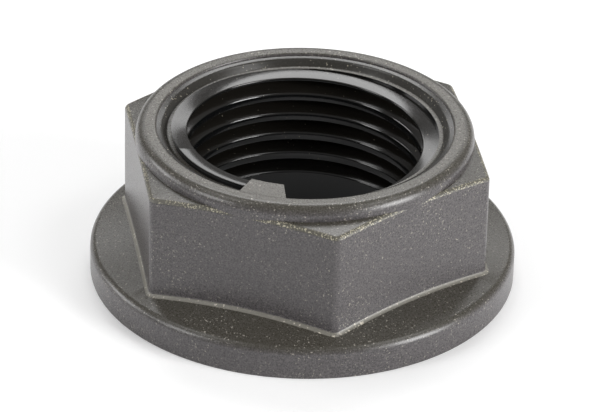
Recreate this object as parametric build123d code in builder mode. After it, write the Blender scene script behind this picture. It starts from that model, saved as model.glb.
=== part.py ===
from build123d import *

import os
from math import atan2, cos, degrees, pi, radians, sin, tan

# Flange nut moulded in fibre-filled plastic, with a G 1/2 internal thread: a round flange, a hexagon
# for the spanner, and a round collar with a recess that leads into the thread.
# The nut stands on its bearing face. Z is the thread's axis and points up from the flange to the
# collar, and the origin is the middle of the bearing face. Sizes are millimetres, angles degrees.

# Thread, right hand, 55 degrees between its flanks
thread_major_diameter = 20.955
thread_pitch = 1.814
thread_depth_in_pitches = 0.6403
flank_angle = 27.5

# Outline, built up from the thread to 26.8 across the flats and a flange of 34
overall_height = 13.04
wall_over_thread = 2.92
flange_overhang = 3.6

# Flange
rim_height = 2.53
flange_slope = 14.4  # how steeply the top of the flange falls to the rim
rim_top_bevel = 0.4
rim_bottom_bevel = 0.05

# Hexagon
corner_radius = 0.65
hexagon_slope = 10.1  # how steeply the top of the hexagon falls to its corners
hexagon_turn = 30.0  # turns a corner of the hexagon towards -Y
top_edge_bevel = 0.2
foot_bevel = 0.2

# Collar, which the flats of the hexagon all but touch
collar_height = 1.17
collar_inset = 0.02
collar_edge_radius = 0.9

# Recess in the collar, from the thread outwards, with its depths taken from the top
ledge_clearance = 0.12  # from the root of the thread to the inner edge of the ledge
ledge_width = 0.3
ledge_depth = 0.79
funnel_width = 0.85
lip_depth = 0.2

# First turn of the thread: its top is a ramp that starts level with the top of the collar, falls by
# one pitch and ends at the foot of the start face, and the groove comes out of that face
start_angle = -109.5  # of the start face's inner edge, round from +X
start_face_lean = 15.0  # how far the face turns forwards from a line through the axis
start_block_angle = 16.0  # length of the block behind the face, where the ramp fills the recess
first_ridge_depth = 0.29  # the highest stretch of the ramp is cut off level at this depth
first_ridge_thickness = 0.385

# Plain bore below the thread
plain_bore_length = 2.7
bore_bevel = 0.5

# Serrations in the bearing face, deepest at the bore and fading out inside a plain rim
serration_count = 30
serration_depth = 0.35
serration_share = 0.9  # of the room that each has at the bore
plain_rim_width = 1.1

# Cutting shapes
margin = 0.5  # how far most of them run past what they cut
serration_lead = 0.25  # how far inside the bore a serration's cut begins
groove_overlap = 6.0  # degrees that the groove's cut runs on past the start face, clear of the ramp
ramp_turns = 0.95  # enough for the ramp to rise out of the first ridge

thread_depth = thread_depth_in_pitches * thread_pitch
major_radius = thread_major_diameter / 2
minor_radius = major_radius - thread_depth
flat_radius = major_radius + wall_over_thread
hexagon_radius = flat_radius / cos(radians(30))
flange_radius = flat_radius + flange_overhang
collar_radius = flat_radius - collar_inset
hexagon_height = overall_height - collar_height

ledge_inner_radius = major_radius + ledge_clearance
ledge_outer_radius = ledge_inner_radius + ledge_width
recess_radius = ledge_outer_radius + funnel_width
collar_edge = min(collar_edge_radius, 0.6 * (collar_radius - recess_radius))

start_face_length = recess_radius - minor_radius + margin
start_face_end = (
    minor_radius + start_face_length * cos(radians(start_face_lean)),
    start_face_length * sin(radians(start_face_lean)),
)
start_block_back = (
    2 * recess_radius * cos(radians(start_block_angle)),
    -2 * recess_radius * sin(radians(start_block_angle)),
)
ramp_bottom = overall_height - thread_pitch
groove_half_width = thread_depth * tan(radians(flank_angle))
groove_start = overall_height - first_ridge_thickness - groove_half_width
groove_top = groove_start + thread_pitch * groove_overlap / 360
groove_bottom = plain_bore_length + groove_half_width
groove_turns = (groove_top - groove_bottom) / thread_pitch
crest_width = thread_pitch - 2 * groove_half_width

# The floor of a serration falls outwards along this line, in the plane of +X and +Z
serration_inner_radius = minor_radius + bore_bevel
serration_outer_radius = flange_radius - plain_rim_width
serration_tilt = atan2(serration_depth, serration_outer_radius - serration_inner_radius)
serration_start_radius = minor_radius - serration_lead
serration_start_height = (serration_inner_radius - serration_start_radius) * tan(serration_tilt)
serration_length = serration_outer_radius - serration_start_radius + margin
serration_width = serration_share * 2 * pi * serration_inner_radius / serration_count


def flange_top(radius):
    """Height of the flange's sloping top at this distance from the axis."""
    return rim_height + (flange_radius - radius) * tan(radians(flange_slope))


def hexagon_top(radius):
    """Height of the hexagon's sloping top at this distance from the axis."""
    return hexagon_height + (flat_radius - radius) * tan(radians(hexagon_slope))


with BuildPart() as flange:
    with BuildSketch(Plane.XZ) as flange_profile:
        with BuildLine():
            Polyline(
                (0, 0),
                (flange_radius, 0),
                (flange_radius, rim_height),
                (0, flange_top(0)),
                close=True,
            )
        make_face()
        rim_corners = flange_profile.vertices().group_by(Axis.X)[-1].sort_by(Axis.Y)
        chamfer(rim_corners[-1], rim_top_bevel)
        rim_corners = flange_profile.vertices().group_by(Axis.X)[-1].sort_by(Axis.Y)
        chamfer(rim_corners[0], rim_bottom_bevel)
    revolve(axis=Axis.Z)

with BuildPart() as hexagon:
    with BuildSketch() as hexagon_outline:
        RegularPolygon(flat_radius, side_count=6, major_radius=False, rotation=hexagon_turn)
        fillet(hexagon_outline.vertices(), corner_radius)
    extrude(amount=hexagon_top(0))
    with BuildSketch(Plane.XZ):
        with BuildLine():
            Polyline(
                (0, hexagon_top(0)),
                (hexagon_radius, hexagon_top(hexagon_radius)),
                (hexagon_radius, hexagon_top(0)),
                close=True,
            )
        make_face()
    revolve(axis=Axis.Z, mode=Mode.SUBTRACT)
    top_edges = hexagon.edges().filter_by_position(
        Axis.Z, hexagon_top(hexagon_radius), hexagon_top(flat_radius) + top_edge_bevel
    )
    chamfer(top_edges.filter_by(GeomType.LINE, reverse=True), top_edge_bevel)

with BuildPart() as collar:
    with BuildSketch(Plane.XZ) as collar_profile:
        with BuildLine():
            Polyline(
                (0, 0),
                (collar_radius, 0),
                (collar_radius, overall_height),
                (0, overall_height),
                close=True,
            )
        make_face()
        collar_corner = collar_profile.vertices().group_by(Axis.X)[-1].sort_by(Axis.Y)[-1]
        fillet(collar_corner, collar_edge)
    revolve(axis=Axis.Z)

# Outline of the block behind the start face, with the inner edge of the face at +X
with BuildSketch() as start_block:
    with BuildLine():
        Polyline(
            (0, 0),
            (minor_radius, 0),
            start_face_end,
            start_block_back,
            close=True,
        )
    make_face()

# The open space in the collar, down to the ledge and, inside the ledge, to the first ridge
with BuildPart() as recess:
    with BuildSketch(Plane.XZ):
        with BuildLine():
            Polyline(
                (0, overall_height - first_ridge_depth),
                (ledge_inner_radius, overall_height - first_ridge_depth),
                (ledge_inner_radius, overall_height - ledge_depth),
                (ledge_outer_radius, overall_height - ledge_depth),
                (recess_radius, overall_height - lip_depth),
                (recess_radius, hexagon_top(0) + margin),
                (0, hexagon_top(0) + margin),
                close=True,
            )
        make_face()
    revolve(axis=Axis.Z)
    with BuildSketch(Plane.XY.offset(overall_height - ledge_depth).rotated((0, 0, start_angle))):
        add(start_block.sketch)
    extrude(amount=ledge_depth - first_ridge_depth, mode=Mode.SUBTRACT)

# The open space above the ramp, with the inner edge of the start face at +X
with BuildPart() as ramp_space:
    with BuildLine():
        ramp_path = Helix(
            thread_pitch, ramp_turns * thread_pitch, minor_radius, center=(0, 0, ramp_bottom)
        )
    with BuildSketch(Plane.XZ):
        with BuildLine():
            Polyline(
                (minor_radius - margin, ramp_bottom),
                (ledge_inner_radius + margin, ramp_bottom),
                (ledge_inner_radius + margin, ramp_bottom + thread_pitch),
                (minor_radius - margin, ramp_bottom + thread_pitch),
                close=True,
            )
        make_face()
    sweep(path=ramp_path, is_frenet=True)
    with BuildSketch(Plane.XY.offset(ramp_bottom - margin)):
        Circle(ledge_inner_radius)
        add(start_block.sketch, mode=Mode.SUBTRACT)
    extrude(amount=2 * (thread_pitch + margin), mode=Mode.INTERSECT)

# The groove of the thread, with its lower end at +X
with BuildPart() as thread_groove:
    with BuildLine():
        groove_path = Helix(
            thread_pitch, groove_top - groove_bottom, minor_radius, center=(0, 0, groove_bottom)
        )
    with BuildSketch(Plane.XZ):
        with BuildLine():
            mouth_radius = minor_radius - crest_width / 2
            mouth_half_width = (major_radius - mouth_radius) * tan(radians(flank_angle))
            Polyline(
                (mouth_radius, groove_bottom - mouth_half_width),
                (major_radius, groove_bottom),
                (mouth_radius, groove_bottom + mouth_half_width),
                close=True,
            )
        make_face()
    sweep(path=groove_path, is_frenet=True)

# One serration, along +X: its steep side bites when the nut turns back
with BuildPart() as serration:
    serration_plane = Plane(
        origin=(serration_start_radius, 0, serration_start_height),
        x_dir=(0, 1, 0),
        z_dir=(cos(serration_tilt), 0, -sin(serration_tilt)),
    )
    with BuildSketch(serration_plane):
        with BuildLine():
            Polyline(
                (serration_width / 2, 0),
                (-serration_width / 2, serration_depth * cos(serration_tilt)),
                (-serration_width / 2, -margin),
                (serration_width / 2, -margin),
                close=True,
            )
        make_face()
    extrude(amount=serration_length)

with BuildPart() as flange_nut:
    add(flange.part)
    add(hexagon.part)
    foot_edges = flange_nut.edges().filter_by_position(
        Axis.Z, flange_top(hexagon_radius), flange_top(flat_radius) + foot_bevel
    )
    chamfer(foot_edges.filter_by(GeomType.LINE, reverse=True), foot_bevel)
    add(collar.part)
    add(recess.part, mode=Mode.SUBTRACT)
    with BuildSketch():
        Circle(minor_radius)
    extrude(amount=overall_height, mode=Mode.SUBTRACT)
    bottom_circles = flange_nut.edges().filter_by(GeomType.CIRCLE).group_by(Axis.Z)[0]
    chamfer(bottom_circles.sort_by(SortBy.RADIUS)[0], bore_bevel)
    with PolarLocations(0, serration_count):
        add(serration.part, mode=Mode.SUBTRACT)
    add(ramp_space.part, rotation=(0, 0, start_angle), mode=Mode.SUBTRACT)
    groove_angle = start_angle + groove_overlap - 360 * groove_turns
    add(thread_groove.part, rotation=(0, 0, groove_angle), mode=Mode.SUBTRACT)

flange_nut.part.label = "flange_nut"

os.makedirs("parts", exist_ok=True)
export_step(flange_nut.part, "parts/flange_nut.step")
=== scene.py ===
import math

import bmesh
import bpy
from mathutils import Matrix, Vector


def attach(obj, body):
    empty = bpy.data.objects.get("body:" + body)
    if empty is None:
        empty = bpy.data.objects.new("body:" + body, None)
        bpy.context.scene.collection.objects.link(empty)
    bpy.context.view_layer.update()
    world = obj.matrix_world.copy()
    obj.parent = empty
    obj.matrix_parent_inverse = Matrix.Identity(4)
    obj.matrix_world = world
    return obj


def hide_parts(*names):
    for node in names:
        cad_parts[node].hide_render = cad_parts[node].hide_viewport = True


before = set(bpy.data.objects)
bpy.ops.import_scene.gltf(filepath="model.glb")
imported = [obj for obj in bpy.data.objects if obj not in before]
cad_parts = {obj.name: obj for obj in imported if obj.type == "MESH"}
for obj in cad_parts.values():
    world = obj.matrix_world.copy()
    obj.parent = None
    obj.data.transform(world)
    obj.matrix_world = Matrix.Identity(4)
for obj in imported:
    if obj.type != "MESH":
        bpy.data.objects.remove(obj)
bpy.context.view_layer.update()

MM = 0.001

# Sizes are millimetres, and the main ones are those of the solid

# Thread
thread_major_radius = 10.4775
thread_pitch = 1.814
thread_depth = 0.6403 * thread_pitch
flank_angle = math.radians(27.5)
root_rounding = 0.1
crest_rounding = 0.12

# Outline
overall_height = 13.04
flat_radius = thread_major_radius + 2.92
flange_radius = flat_radius + 3.6
rim_height = 2.53
flange_slope = math.radians(14.4)
rim_top_rounding = 0.55
rim_bottom_rounding = 0.1
corner_radius = 0.65
hexagon_height = 11.87
hexagon_slope = math.radians(10.1)
top_edge_rounding = 0.32
foot_rounding = 0.28
collar_radius = flat_radius - 0.005
collar_edge_radius = 0.9
collar_mouth_rounding = 0.15

# Recess
ledge_inner_radius = thread_major_radius + 0.12
ledge_outer_radius = ledge_inner_radius + 0.3
recess_radius = ledge_outer_radius + 0.85
shelf_width = 0.42
ledge_depth = 0.79
ledge_rounding = 0.1
shelf_depth = 0.3
shelf_rounding = 0.12
lip_depth = 0.2
lip_rounding = 0.06

# First turn of the thread
start_angle = math.radians(-109.5)
start_face_lean = math.radians(15)
start_block_angle = math.radians(16)
first_ridge_depth = 0.29
first_ridge_thickness = 0.385
first_ridge_rounding = 0.06
groove_overlap = math.radians(6)
ramp_turns = 0.95
ramp_fall = 0.16  # how far the ramp and the first ridge fall from their outer to their inner edge
ramp_rounding = 0.1
start_block_setback = 0.02  # keeps the block's inner wall clear of the bore's
start_edge_rounding = 0.12

# Bore and underside
plain_bore_length = 2.7
bore_bevel = 0.5
bore_bevel_rounding = 0.12
serration_count = 30
serration_depth = 0.35
serration_share = 0.9
plain_rim_width = 1.1

minor_radius = thread_major_radius - thread_depth
groove_half_width = thread_depth * math.tan(flank_angle)

# Cutting shapes
margin = 0.5  # how far most of them run past what they cut
wall_step = 0.02  # keeps the ridge's outer wall clear of the cut that makes the ramp
turned_edge = 0.01  # how far a rounded edge runs on past its corner, towards the axis

# Fineness of the mesh
ROUND_STEPS = 288
HEXAGON_STEPS = 72
ROUNDING_STEP = 0.03  # a rounding gets a segment for each of these in it, from 3 to 10
COINCIDENT = 1e-7  # points no further apart than this, in metres, are one
ORDER_POINT = (0.0313, 0.0171, 0.0239)  # off the planes of symmetry, so equal distances are rare

# Edges shorter than these are closed up, because a bevel would fold over them
TOP_EDGE_SLIVER = 0.03
JOINT_SLIVER = 0.01
FOOT_SLIVER = 0.04
CUT_SLIVER = 0.008
FLAT_SLIVER = 0.001

NEAR = 0.01  # how near a surface a point counts as on it
LEVEL_TILT = 0.9995  # a face whose normal looks up by more than this is level

# Camera: angles in degrees, and the point it aims at is moved right and up in its own frame
CAMERA_AZIMUTH = -10.0
CAMERA_ELEVATION = 29.98
CAMERA_DISTANCE = 327.2
CAMERA_AIM_HEIGHT = 7.1
CAMERA_LENS = 246.76
CAMERA_ROLL = 1.35
AIM_RIGHT = -0.3
AIM_UP = -1.37


def linear(hex_colour):
    """Linear RGBA of an sRGB hex colour."""
    channels = [int(hex_colour[i:i + 2], 16) / 255 for i in (1, 3, 5)]
    return [c / 12.92 if c <= 0.04045 else ((c + 0.055) / 1.055) ** 2.4 for c in channels] + [1.0]


def node(tree, kind, links=None, values=None, **settings):
    """Adds a node, links and fills its inputs by name or index, and sets its properties."""
    added = tree.nodes.new(kind)
    for name, value in settings.items():
        setattr(added, name, value)
    for name, value in (values or {}).items():
        added.inputs[name].default_value = value
    for name, socket in (links or {}).items():
        tree.links.new(socket, added.inputs[name])
    return added


def flange_top(radius):
    """Height of the flange's sloping top at this distance from the axis."""
    return rim_height + (flange_radius - radius) * math.tan(flange_slope)


def hexagon_top(radius):
    """Height of the hexagon's sloping top at this distance from the axis."""
    return hexagon_height + (flat_radius - radius) * math.tan(hexagon_slope)


def deselect():
    if bpy.context.object and bpy.context.object.mode == "EDIT":
        bpy.ops.object.mode_set(mode="OBJECT")
    bpy.ops.object.select_all(action="DESELECT")


def edit(piece, kind="VERT"):
    """Opens the piece in edit mode with all of it selected."""
    deselect()
    piece.select_set(True)
    bpy.context.view_layer.objects.active = piece
    bpy.ops.object.mode_set(mode="EDIT")
    bpy.ops.mesh.select_mode(type=kind)
    bpy.ops.mesh.select_all(action="SELECT")


def done():
    bpy.ops.object.mode_set(mode="OBJECT")


def choose(piece, kind, test):
    """Opens the piece in edit mode with the vertices, edges or faces selected that pass the test."""
    edit(piece, kind)
    bpy.ops.mesh.select_all(action="DESELECT")
    mesh = bmesh.from_edit_mesh(piece.data)
    for part in {"VERT": mesh.verts, "EDGE": mesh.edges, "FACE": mesh.faces}[kind]:
        part.select_set(test(part))
    mesh.select_flush_mode()
    bmesh.update_edit_mesh(piece.data)


def drawn(name, places):
    """Face with these corners, drawn from a point round to the last of them."""
    deselect()
    bpy.ops.mesh.primitive_plane_add(size=MM)
    piece = bpy.context.object
    piece.name = name
    edit(piece)
    bpy.ops.mesh.merge(type="CENTER")
    bpy.ops.transform.translate(value=places[0])
    for start, end in zip(places, places[1:]):
        bpy.ops.mesh.extrude_region_move(TRANSFORM_OT_translate={"value": end - start})
    bpy.ops.mesh.select_all(action="SELECT")
    bpy.ops.mesh.edge_face_add()
    done()
    return piece


def outline(name, corners, level=None):
    """Face inside these corners, each (x, z) or (x, z, rounding), or (x, y) at a level of z."""
    places = [Vector((c[0], 0, c[1]) if level is None else (c[0], c[1], level)) * MM for c in corners]
    piece = drawn(name, places)
    for corner, place in zip(corners, places):
        if len(corner) > 2:
            rounding = corner[2]
            choose(piece, "VERT", lambda v: (v.co - place).length < COINCIDENT)
            segments = max(3, min(10, round(rounding / ROUNDING_STEP)))
            bpy.ops.mesh.bevel(affect="VERTICES", offset=rounding * MM, segments=segments)
            done()
    return piece


def tidy_normals(piece):
    edit(piece)
    bpy.ops.mesh.remove_doubles(threshold=COINCIDENT)
    bpy.ops.mesh.normals_make_consistent(inside=False)
    done()


def turned(name, corners, steps=ROUND_STEPS):
    """Closed ring with this section."""
    piece = outline(name, corners)
    edit(piece)
    bpy.ops.mesh.delete(type="ONLY_FACE")
    bpy.ops.mesh.select_all(action="SELECT")
    bpy.ops.mesh.spin(steps=steps, angle=2 * math.pi, center=(0, 0, 0), axis=(0, 0, 1))
    done()
    tidy_normals(piece)
    return piece


def screwed(name, corners, start, turns, steps):
    """Section led up around the axis by the thread's pitch from +X at this height, with closed ends."""
    piece = outline(name, corners)
    edit(piece)
    bpy.ops.transform.translate(value=(0, 0, start * MM))
    bpy.ops.mesh.delete(type="ONLY_FACE")
    done()
    modify(piece, "SCREW", angle=2 * math.pi * turns, screw_offset=thread_pitch * turns * MM,
           steps=steps, render_steps=steps, use_smooth_shade=False)
    edit(piece)
    bpy.ops.mesh.fill_holes(sides=0)
    done()
    tidy_normals(piece)
    return piece


def raised(name, corners, bottom, top):
    """Block with this outline between two heights."""
    piece = outline(name, corners, level=bottom)
    edit(piece)
    bpy.ops.mesh.extrude_region_move(TRANSFORM_OT_translate={"value": (0, 0, (top - bottom) * MM)})
    done()
    tidy_normals(piece)
    return piece


def modify(piece, kind, **settings):
    deselect()
    piece.select_set(True)
    bpy.context.view_layer.objects.active = piece
    modifier = piece.modifiers.new(kind.lower(), kind)
    for name, value in settings.items():
        setattr(modifier, name, value)
    bpy.ops.object.modifier_apply(modifier=modifier.name)


def put_in_order(piece):
    """Sorts the mesh by distance from a point, because a cut hands it back in a different order on
    each run, and what is merged after it depends on that order."""
    edit(piece)
    bpy.context.scene.cursor.location = ORDER_POINT
    bpy.ops.mesh.sort_elements(type="CURSOR_DISTANCE", elements={"VERT", "EDGE", "FACE"})
    bpy.context.scene.cursor.location = (0, 0, 0)
    done()


def combine(piece, operation, other):
    modify(piece, "BOOLEAN", object=other, operation=operation, solver="EXACT")
    bpy.data.objects.remove(other)
    put_in_order(piece)


def turn(piece, angle):
    """Turns the mesh about the axis, anticlockwise seen from above."""
    edit(piece)
    bpy.ops.transform.rotate(value=-angle, orient_axis="Z", center_override=(0, 0, 0))
    done()


def radius_of(vertex):
    return math.hypot(vertex.co.x, vertex.co.y) / MM


def make_ring():
    """The turned shape: flange, collar, recess and bore."""
    return turned("flange_nut_body", [
        (minor_radius, bore_bevel, bore_bevel_rounding),
        (minor_radius + bore_bevel, 0, bore_bevel_rounding),
        (flange_radius, 0, rim_bottom_rounding),
        (flange_radius, rim_height, rim_top_rounding),
        (collar_radius, flange_top(collar_radius)),
        (collar_radius, overall_height, collar_edge_radius),
        (recess_radius, overall_height, collar_mouth_rounding),
        (recess_radius, overall_height - lip_depth, lip_rounding),
        (recess_radius - shelf_width, overall_height - shelf_depth, shelf_rounding),
        (ledge_outer_radius, overall_height - ledge_depth, ledge_rounding),
        (ledge_inner_radius - wall_step, overall_height - ledge_depth),
        (ledge_inner_radius - wall_step, overall_height - first_ridge_depth, first_ridge_rounding),
        (minor_radius, overall_height - first_ridge_depth - ramp_fall, crest_rounding),
    ])


def make_hexagon():
    """Hexagonal ring with a sloping top, which reaches down into the flange and in to the collar."""
    bar_height, bar_middle = 12, 7
    limit_inside, limit_outside, limit_bottom = 12, 17, 1.5
    deselect()
    bpy.ops.mesh.primitive_cylinder_add(
        vertices=6, radius=flat_radius / math.cos(math.pi / 6) * MM, depth=bar_height * MM,
        location=(0, 0, bar_middle * MM))
    hexagon = bpy.context.object
    hexagon.name = "hexagon"
    bpy.ops.object.transform_apply()
    choose(hexagon, "EDGE", lambda e: abs(e.verts[0].co.z - e.verts[1].co.z) > MM)
    bpy.ops.mesh.bevel(offset=corner_radius * math.tan(math.pi / 6) * MM, segments=8)
    done()
    limit = turned("hexagon_limit", [
        (limit_inside, limit_bottom),
        (limit_outside, limit_bottom),
        (limit_outside, hexagon_top(limit_outside)),
        (limit_inside, hexagon_top(limit_inside)),
    ], HEXAGON_STEPS)
    combine(hexagon, "INTERSECT", limit)
    choose(hexagon, "EDGE", is_hexagon_top_edge)
    bpy.ops.mesh.remove_doubles(threshold=TOP_EDGE_SLIVER * MM)
    choose(hexagon, "EDGE", is_hexagon_top_edge)
    bpy.ops.mesh.bevel(offset=top_edge_rounding * MM, segments=5, clamp_overlap=False)
    done()
    return hexagon


def tilts_of(edge):
    """How far up the edge's two faces look, from -1, down, by 0, sideways, to 1, up. Lower first."""
    return sorted(face.normal.z for face in edge.link_faces)


def is_hexagon_top_edge(edge):
    """Where a wall of the hexagon meets its sloping top."""
    if len(edge.link_faces) != 2 or min(radius_of(v) for v in edge.verts) < flat_radius - NEAR:
        return False
    lower, upper = tilts_of(edge)
    return abs(lower) < 0.2 and upper > 0.9


def is_foot_edge(edge):
    """Where a wall of the hexagon meets the flange's sloping top."""
    if len(edge.link_faces) != 2:
        return False
    for vertex in edge.verts:
        radius = radius_of(vertex)
        height = vertex.co.z / MM
        if radius < flat_radius - 2 * NEAR or abs(height - flange_top(radius)) > NEAR / 3:
            return False
    lower, upper = tilts_of(edge)
    return lower < 0.3 and upper > 0.9


def start_outline(name, bottom, top):
    """The block behind the start face, with the inner edge of the face at the start angle."""
    face_length = recess_radius - minor_radius + margin
    face_end = (
        minor_radius + face_length * math.cos(start_face_lean),
        face_length * math.sin(start_face_lean),
    )
    # Its inner corners lie a little inside the bore, so that none of its edges runs along the wall
    inner_front, inner_back, outer_back = 0.999 * minor_radius, 0.99 * minor_radius, recess_radius + 1
    back_x, back_y = math.cos(start_block_angle), -math.sin(start_block_angle)
    block = raised(name, [
        (inner_front, 0),
        face_end,
        (outer_back * back_x, outer_back * back_y),
        (inner_back * back_x, inner_back * back_y),
    ], bottom, top)
    turn(block, start_angle)
    return block


def make_start_block():
    """Fills the recess behind the start face, up to a level top over the first ridge."""
    into_ledge, into_collar = 0.2, 0.3  # how far it reaches into what it joins
    block = start_outline("start_block", overall_height - ledge_depth - into_ledge, overall_height)
    inside, outside = minor_radius + start_block_setback, recess_radius + into_collar
    bottom, top = 11, overall_height - first_ridge_depth
    limit = turned("start_block_limit", [
        (inside, bottom),
        (outside, bottom),
        (outside, top),
        (inside, top),
    ])
    combine(block, "INTERSECT", limit)
    return block


def make_ramp_space():
    """The open space above the ramp that leads into the thread."""
    bottom = overall_height - thread_pitch
    inner_drop = 0.4  # how far the space reaches down the wall of the bore
    space = screwed("ramp_space", [
        (minor_radius - margin, -inner_drop),
        (minor_radius - turned_edge, -inner_drop),
        (minor_radius, -ramp_fall, ramp_rounding),
        (ledge_inner_radius, 0),
        (ledge_inner_radius, thread_pitch),
        (minor_radius - margin, thread_pitch),
    ], bottom, ramp_turns, round(ROUND_STEPS * ramp_turns))
    turn(space, start_angle)
    combine(space, "DIFFERENCE", start_outline("start_block_tall", bottom - 1, overall_height + 1))
    return space


def make_groove():
    """The thread's groove, with the roundings of the crests above and below it."""
    top = overall_height - first_ridge_thickness - groove_half_width
    top += thread_pitch * groove_overlap / (2 * math.pi)
    bottom = plain_bore_length + groove_half_width
    turns = (top - bottom) / thread_pitch
    mouth_reach = 0.3
    mouth_half_width = groove_half_width + crest_rounding + 0.03
    groove = screwed("thread_groove", [
        (minor_radius - mouth_reach, -mouth_half_width),
        (minor_radius - turned_edge, -mouth_half_width),
        (minor_radius, -groove_half_width, crest_rounding),
        (thread_major_radius, 0, root_rounding),
        (minor_radius, groove_half_width, crest_rounding),
        (minor_radius - turned_edge, mouth_half_width),
        (minor_radius - mouth_reach, mouth_half_width),
    ], bottom, turns, round(ROUND_STEPS * turns / 2))
    turn(groove, start_angle + groove_overlap - 2 * math.pi * turns)
    return groove


def make_serrations():
    """The serrations' cuts: each is deepest at the bore and fades out inside the plain rim."""
    inner = minor_radius + bore_bevel
    outer = flange_radius - plain_rim_width
    tilt = math.atan2(serration_depth, outer - inner)
    start = minor_radius - 0.25
    height = (inner - start) * math.tan(tilt)
    length = (outer - start + margin) * MM
    side = serration_share * 2 * math.pi * inner / serration_count / 2
    section = [(side, 0), (-side, serration_depth), (-side, -margin), (side, -margin)]
    cut = drawn("serrations", [Vector((start, y, z + height)) * MM for y, z in section])
    edit(cut)
    bpy.ops.mesh.extrude_region_move(
        TRANSFORM_OT_translate={"value": (length * math.cos(tilt), 0, -length * math.sin(tilt))})
    done()
    tidy_normals(cut)
    edit(cut)
    step = 2 * math.pi / serration_count
    for _ in range(serration_count - 1):
        bpy.ops.mesh.duplicate()
        bpy.ops.transform.rotate(value=step, orient_axis="Z", center_override=(0, 0, 0))
    done()
    return cut


def on_start_edge(edge):
    """The upper edge of the start face."""
    lowest = overall_height - first_ridge_depth - 3 * NEAR
    for vertex in edge.verts:
        place = Matrix.Rotation(-start_angle, 3, "Z") @ vertex.co / MM
        along = (place.x - minor_radius) * math.sin(start_face_lean)
        off_line = along - place.y * math.cos(start_face_lean)
        if abs(off_line) > 2 * NEAR or place.z < lowest or place.x > recess_radius:
            return False
    return len(edge.link_faces) == 2


def make_nut():
    """The whole nut. Its hexagon is joined on and bevelled before the start of the thread is cut."""
    nut = make_ring()
    combine(nut, "UNION", make_hexagon())
    edit(nut)
    bpy.ops.mesh.remove_doubles(threshold=JOINT_SLIVER * MM)
    choose(nut, "EDGE", is_foot_edge)
    bpy.ops.mesh.remove_doubles(threshold=FOOT_SLIVER * MM)
    choose(nut, "EDGE", is_foot_edge)
    bpy.ops.mesh.bevel(offset=foot_rounding * MM, segments=4, clamp_overlap=False)
    done()
    combine(nut, "UNION", make_start_block())
    combine(nut, "DIFFERENCE", make_serrations())
    combine(nut, "DIFFERENCE", make_ramp_space())
    combine(nut, "DIFFERENCE", make_groove())
    edit(nut)
    bpy.ops.mesh.remove_doubles(threshold=CUT_SLIVER * MM)
    bpy.ops.mesh.dissolve_degenerate(threshold=FLAT_SLIVER * MM)
    choose(nut, "EDGE", on_start_edge)
    bpy.ops.mesh.bevel(offset=start_edge_rounding * MM, segments=4, clamp_overlap=True)
    done()
    return nut


def is_collar_foot(edge):
    """Where the collar's wall meets the hexagon's top edge and slope."""
    if len(edge.link_faces) != 2:
        return False
    lowest, highest = flange_top(collar_radius) + 1, overall_height - collar_edge_radius
    for vertex in edge.verts:
        off_wall = abs(radius_of(vertex) - collar_radius)
        if off_wall > NEAR or not lowest < vertex.co.z / MM < highest:
            return False
    one, other = (is_collar_wall(face) for face in edge.link_faces)
    return one != other


def is_collar_wall(face):
    """The upright part of the collar's wall."""
    outermost = max(radius_of(v) for v in face.verts)
    return abs(face.normal.z) < 0.01 and abs(outermost - collar_radius) < NEAR


def is_ramp_border(edge):
    """Where the ramp meets the ledge or the first ridge's outer wall."""
    highest = overall_height - first_ridge_depth - 0.1
    return all(
        abs(radius_of(v) - ledge_inner_radius) < 3 * NEAR and v.co.z / MM < highest for v in edge.verts)


def is_block_border(edge):
    """Around the level top of the block behind the start face."""
    if len(edge.link_faces) != 2 or max(radius_of(v) for v in edge.verts) > recess_radius + NEAR:
        return False
    top = overall_height - first_ridge_depth
    lower, upper = tilts_of(edge)
    return lower < LEVEL_TILT < upper and all(abs(v.co.z / MM - top) < NEAR for v in edge.verts)


def finish_shading(piece):
    for test in (is_collar_foot, is_ramp_border, is_block_border):
        choose(piece, "EDGE", test)
        bpy.ops.mesh.mark_sharp()
    deselect()
    piece.select_set(True)
    bpy.context.view_layer.objects.active = piece
    bpy.ops.object.shade_smooth_by_angle(angle=math.radians(32), keep_sharp_edges=True)
    modify(piece, "WEIGHTED_NORMAL", keep_sharp=True, weight=80)


def make_camera():
    azimuth, elevation = math.radians(CAMERA_AZIMUTH), math.radians(CAMERA_ELEVATION)
    back = Vector((
        math.sin(azimuth) * math.cos(elevation),
        -math.cos(azimuth) * math.cos(elevation),
        math.sin(elevation),
    ))
    level_right = Vector((math.cos(azimuth), math.sin(azimuth), 0))
    level_up = back.cross(level_right)
    roll = math.radians(CAMERA_ROLL)
    right = math.cos(roll) * level_right + math.sin(roll) * level_up
    up = -math.sin(roll) * level_right + math.cos(roll) * level_up
    target = Vector((0, 0, CAMERA_AIM_HEIGHT))
    place = target + CAMERA_DISTANCE * back
    aim = target + AIM_RIGHT * right + AIM_UP * up
    backward = (place - aim).normalized()
    right = up.cross(backward).normalized()
    up = backward.cross(right)
    deselect()
    bpy.ops.object.camera_add()
    camera = bpy.context.object
    camera.data.lens = CAMERA_LENS
    camera.data.sensor_width = 36
    camera.data.clip_start = 0.01
    turned_to = Matrix((right, up, backward)).transposed().to_4x4()
    camera.matrix_world = Matrix.Translation(place * MM) @ turned_to
    bpy.context.scene.camera = camera


MOULDED, POLISHED, SCUFFED, FLASH_AND_HIGHLIGHT, SATIN = range(5)  # the nut's finishes, by material index
FACTOR, FIRST, SECOND, MIXED = 0, 6, 7, 2  # a colour Mix node's inputs, and its output
NYLON_IOR = 1.53
GRAIN_MM = 0.13
PATCH_MM = 4.0
# How far up a face looks, where a wall's colour turns to a slope's, and a slope's to a level face's,
# which paints light and shade by facing
SLOPE_FROM, SLOPE_TO = 0.2, 0.8
LEVEL_FROM, LEVEL_TO = 0.987, 0.998


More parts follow.
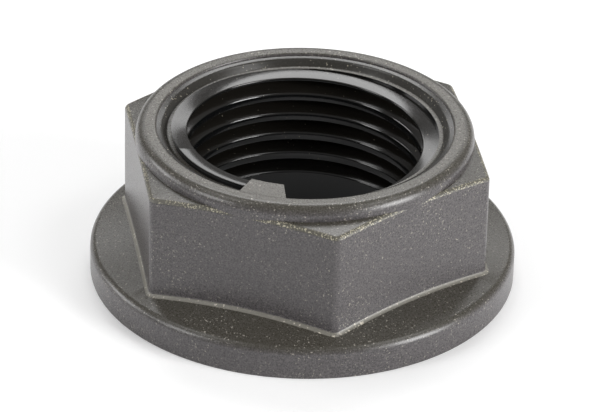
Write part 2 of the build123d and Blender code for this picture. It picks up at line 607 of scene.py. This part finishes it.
def moulded_nylon(name, wall, slope, level, grain, speck, grain_share, speck_share, speck_mm,
                  roughness, bump_mm):
    """Black nylon filled with glass fibre, with a colour each for its walls, for sloping upper faces
    and
    for level ones: painted light and shade by which way a face looks. Fibres in the skin show as a pale
    grain, and bundles of them as specks."""
    material = bpy.data.materials.new(name)
    material.use_nodes = True
    tree = material.node_tree
    shader = tree.nodes["Principled BSDF"]
    shader.inputs["IOR"].default_value = NYLON_IOR
    place = node(tree, "ShaderNodeTexCoord").outputs["Object"]
    normal = node(tree, "ShaderNodeNewGeometry").outputs["Normal"]
    upward = node(tree, "ShaderNodeSeparateXYZ", {"Vector": normal}).outputs["Z"]

    # Painted light and shade: the colour turns from the walls' to the slopes' and on to the level
    # faces' as the face looks further up
    upward_painted_light = node(tree, "ShaderNodeMapRange", {"Value": upward},
                 {"From Min": SLOPE_FROM, "From Max": SLOPE_TO})
    level_painted_light = node(tree, "ShaderNodeMapRange", {"Value": upward},
                  {"From Min": LEVEL_FROM, "From Max": LEVEL_TO})
    upper = node(tree, "ShaderNodeMix", {FACTOR: level_painted_light.outputs[0]},
                 {FIRST: linear(slope), SECOND: linear(level)}, data_type="RGBA")
    skin = node(tree, "ShaderNodeMix", {FACTOR: upward_painted_light.outputs[0], SECOND: upper.outputs[MIXED]},
                {FIRST: linear(wall)}, data_type="RGBA")

    # The fibres are about 0.01 mm thick, too fine to show, so their grain and specks are drawn coarser
    fibres = node(tree, "ShaderNodeTexNoise", {"Vector": place},
                  {"Scale": 1 / (GRAIN_MM * MM), "Detail": 3.0, "Roughness": 0.7}).outputs["Fac"]
    bare = node(tree, "ShaderNodeMapRange", {"Value": fibres},
                {"From Min": 0.5, "From Max": 0.75, "To Max": grain_share})
    # The pale grain shows less on faces that look up
    grain_fading_upward = node(tree, "ShaderNodeMapRange", {"Value": upward}, {
        "From Min": SLOPE_FROM, "From Max": 0.9, "To Min": 1.0, "To Max": 0.45})
    seen = node(tree, "ShaderNodeMath", {0: bare.outputs[0], 1: grain_fading_upward.outputs[0]},
                operation="MULTIPLY")
    grained = node(tree, "ShaderNodeMix", {FACTOR: seen.outputs[0], FIRST: skin.outputs[MIXED]},
                   {SECOND: linear(grain)}, data_type="RGBA")

    # Specks lie thicker in some patches than in others
    patches = node(tree, "ShaderNodeTexNoise", {"Vector": place}, {"Scale": 1 / (PATCH_MM * MM)})
    threshold = node(tree, "ShaderNodeMapRange", {"Value": patches.outputs["Fac"]}, {
        "From Min": 0.35, "From Max": 0.7, "To Min": 1.03 - speck_share, "To Max": 0.97 - speck_share})
    bundles = node(tree, "ShaderNodeTexNoise", {"Vector": place},
                   {"Scale": 1 / (speck_mm * MM), "Detail": 1.0})
    above = node(tree, "ShaderNodeMath", {0: bundles.outputs["Fac"], 1: threshold.outputs[0]},
                 operation="SUBTRACT")
    specks = node(tree, "ShaderNodeMapRange", {"Value": above.outputs[0]}, {"From Max": 0.03})
    colour = node(tree, "ShaderNodeMix", {FACTOR: specks.outputs[0], FIRST: grained.outputs[MIXED]},
                  {SECOND: linear(speck)}, data_type="RGBA")
    tree.links.new(colour.outputs[MIXED], shader.inputs["Base Color"])

    gloss = node(tree, "ShaderNodeMapRange", {"Value": fibres}, {
        "From Min": 0.3, "From Max": 0.7, "To Min": roughness - 0.05, "To Max": roughness + 0.05})
    tree.links.new(gloss.outputs[0], shader.inputs["Roughness"])
    bump = node(tree, "ShaderNodeBump", {"Height": fibres}, {"Distance": bump_mm * MM, "Strength": 1.0})
    tree.links.new(bump.outputs["Normal"], shader.inputs["Normal"])
    return material


def make_finishes():
    """The nut's finishes, in the order of their indices."""
    # In each finish the wall, slope and level colours paint light and shade by which way a face looks
    return [
        # Nylon filled with glass fibre, off a finely blasted mould: a satin charcoal, greyer than its
        #         black pigment because fibres lie in the skin. Its upper faces are painted warmer,
        #         level ones lighter and sloping ones darker, as painted light and shade
        moulded_nylon(
            "moulded_fibre_filled_nylon", wall="#454243", slope="#3e3b34", level="#524f48",
            grain="#868180", speck="#969188", grain_share=0.6, speck_share=0.32, speck_mm=0.16,
            roughness=0.29, bump_mm=0.009),
        # The same nylon off the polished core that screws out of it: nearly black, with sharp
        #         highlights, since the resin closes over the fibres; its upper faces are painted
        #         lighter than its walls, as painted light
        moulded_nylon(
            "polished_fibre_filled_nylon", wall="#0a0b0c", slope="#1a1815", level="#1c1a17",
            grain="#23211e", speck="#6a665b", grain_share=0.3, speck_share=0.24, speck_mm=0.25,
            roughness=0.13, bump_mm=0.0012),
        # The same nylon rubbed on an edge: fibres stand out of it, so it is paler, dull and crumbly
        moulded_nylon(
            "scuffed_fibre_filled_nylon", wall="#4b4943", slope="#4c4940", level="#504d44",
            grain="#8c8775", speck="#aea894", grain_share=0.8, speck_share=0.41, speck_mm=0.13,
            roughness=0.4, bump_mm=0.03),
        # The rounding at the hexagon's foot: partly the thin skin of nylon squeezed out where the mould
        # closes, mostly fibre, and partly a painted highlight along the rounding, so it is the palest
        moulded_nylon(
            "fibre_filled_nylon_flash_and_highlight", wall="#6a675f", slope="#716e66", level="#716e66",
            grain="#98938a", speck="#c8c1b2", grain_share=0.8, speck_share=0.34, speck_mm=0.22,
            roughness=0.35, bump_mm=0.02),
        # The same nylon off the turned part of the core: darker and smoother than the outside, with a
        # soft gloss and a few pale specks
        moulded_nylon(
            "satin_fibre_filled_nylon", wall="#282725", slope="#2a2824", level="#302e29",
            grain="#4c4942", speck="#8b8577", grain_share=0.5, speck_share=0.3, speck_mm=0.18,
            roughness=0.22, bump_mm=0.004),
    ]


def place_of(face):
    """Radius and height of the face's middle."""
    middle = face.calc_center_median()
    return math.hypot(middle.x, middle.y) / MM, middle.z / MM


def in_start_block(face):
    """Within the angle that the block behind the start face takes up."""
    middle = face.calc_center_median()
    behind = (start_angle - math.atan2(middle.y, middle.x)) % (2 * math.pi)
    return behind < start_block_angle or behind > 2 * math.pi - start_face_lean


def in_core(face):
    """All that the mould's core forms: the recess, the thread and the bore, but not the ledge's floor
    and the top of the block, which are as dull as the outside."""
    radius, height = place_of(face)
    depth = overall_height - height
    if radius > recess_radius - 2 * NEAR or height < bore_bevel:
        return False
    on_ledge = abs(depth - ledge_depth) < 3 * NEAR and radius > ledge_inner_radius - 5 * NEAR
    on_block = abs(depth - first_ridge_depth) < 3 * NEAR and in_start_block(face)
    return not on_ledge and not on_block


def in_outer_recess(face):
    """The recess outside the ledge."""
    radius, height = place_of(face)
    depth = overall_height - height
    return in_core(face) and radius > ledge_outer_radius - 2 * NEAR and depth < ledge_depth + 5 * NEAR


def on_top_edge(face):
    """The rounded top edge of the hexagon."""
    radius, height = place_of(face)
    above = height - hexagon_top(radius)
    near_top = -0.9 * top_edge_rounding < above < 2 * NEAR
    return near_top and radius > collar_radius and 0.25 < face.normal.z < 0.955


def on_foot(face):
    """The rounding where the hexagon meets the flange."""
    radius, height = place_of(face)
    above = height - flange_top(radius)
    near_foot = -2 * NEAR < above < 1.1 * foot_rounding
    within = flange_radius - 1
    return near_foot and collar_radius < radius < within and 0.3 < face.normal.z < 0.93


def paint(piece, index, test):
    choose(piece, "FACE", test)
    piece.active_material_index = index
    bpy.ops.object.material_slot_assign()
    done()


# Lamps: azimuth from the camera to the right and elevation, in degrees, then width and height in
# metres, and radiance
SOFTBOXES = {
    "softbox_right": (62, 17, 0.32, 0.36, 14.0),
    "softbox_right_top": (76, 58, 0.32, 0.17, 3.4),
    "softbox_left": (-66, 28, 0.21, 0.26, 7.5),
    "softbox_left_side": (-104, 16, 0.32, 0.2, 6.4),
    "softbox_left_top": (-90, 62, 0.26, 0.17, 3.0),
    "softbox_top": (180, 53, 0.44, 0.2, 5.8),
    "softbox_back": (180, 29, 0.8, 0.1, 3.0),
}
SOFTBOX_DISTANCE = 0.7
WORLD_STRENGTH = 0.27
FLOOR_GLOW = 0.14


def make_softbox(name, azimuth, elevation, width, height, radiance):
    """Area lamp that faces the nut."""
    turn_to, rise = math.radians(CAMERA_AZIMUTH + azimuth), math.radians(elevation)
    direction = Vector((
        math.sin(turn_to) * math.cos(rise),
        -math.cos(turn_to) * math.cos(rise),
        math.sin(rise),
    ))
    deselect()
    bpy.ops.object.light_add(type="AREA")
    lamp = bpy.context.object
    lamp.name = name
    lamp.data.shape = "RECTANGLE"
    lamp.data.size, lamp.data.size_y = width, height
    lamp.data.energy = radiance * math.pi * width * height
    facing = direction.to_track_quat("Z", "Y").to_matrix().to_4x4()
    lamp.matrix_world = Matrix.Translation(SOFTBOX_DISTANCE * direction) @ facing
    lamp.visible_camera = False


def shown_rays(tree):
    """1 for what the camera, a reflection or a transparent part sees, and 0 for what only lights."""
    path = node(tree, "ShaderNodeLightPath")
    shown = path.outputs["Is Camera Ray"]
    for output in ("Is Glossy Ray", "Is Transmission Ray"):
        shown = node(tree, "ShaderNodeMath", {0: shown, 1: path.outputs[output]},
                     operation="MAXIMUM").outputs[0]
    return shown


def make_studio():
    for name, settings in SOFTBOXES.items():
        make_softbox(name, *settings)
    world = bpy.data.worlds.new("studio")
    bpy.context.scene.world = world
    world.use_nodes = True
    background = world.node_tree.nodes["Background"]
    background.inputs["Color"].default_value = (1, 1, 1, 1)
    background.inputs["Strength"].default_value = WORLD_STRENGTH


def make_floor():
    deselect()
    bpy.ops.mesh.primitive_plane_add(size=6)
    floor = bpy.context.object
    floor.name = "floor"
    material = bpy.data.materials.new("pale_floor")
    material.use_nodes = True
    tree = material.node_tree
    shader = tree.nodes["Principled BSDF"]
    shader.inputs["Base Color"].default_value = linear("#f2f2f2")
    shader.inputs["Roughness"].default_value = 0.9
    shader.inputs["Specular IOR Level"].default_value = 0.0
    shader.inputs["Emission Color"].default_value = (1, 1, 1, 1)
    glow = node(tree, "ShaderNodeMath", {0: shown_rays(tree)}, {1: FLOOR_GLOW}, operation="MULTIPLY")
    tree.links.new(glow.outputs[0], shader.inputs["Emission Strength"])
    floor.data.materials.append(material)


make_camera()
nut = make_nut()
finish_shading(nut)
nut.data.materials.clear()
for finish in make_finishes():
    nut.data.materials.append(finish)
paint(nut, POLISHED, in_core)
paint(nut, SATIN, in_outer_recess)
paint(nut, SCUFFED, on_top_edge)
# The foot's rounding gets the palest finish: partly flash, partly a painted highlight
paint(nut, FLASH_AND_HIGHLIGHT, on_foot)
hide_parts("flange_nut")
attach(nut, "root")
make_floor()
make_studio()

bpy.context.scene.view_settings.view_transform = "Standard"
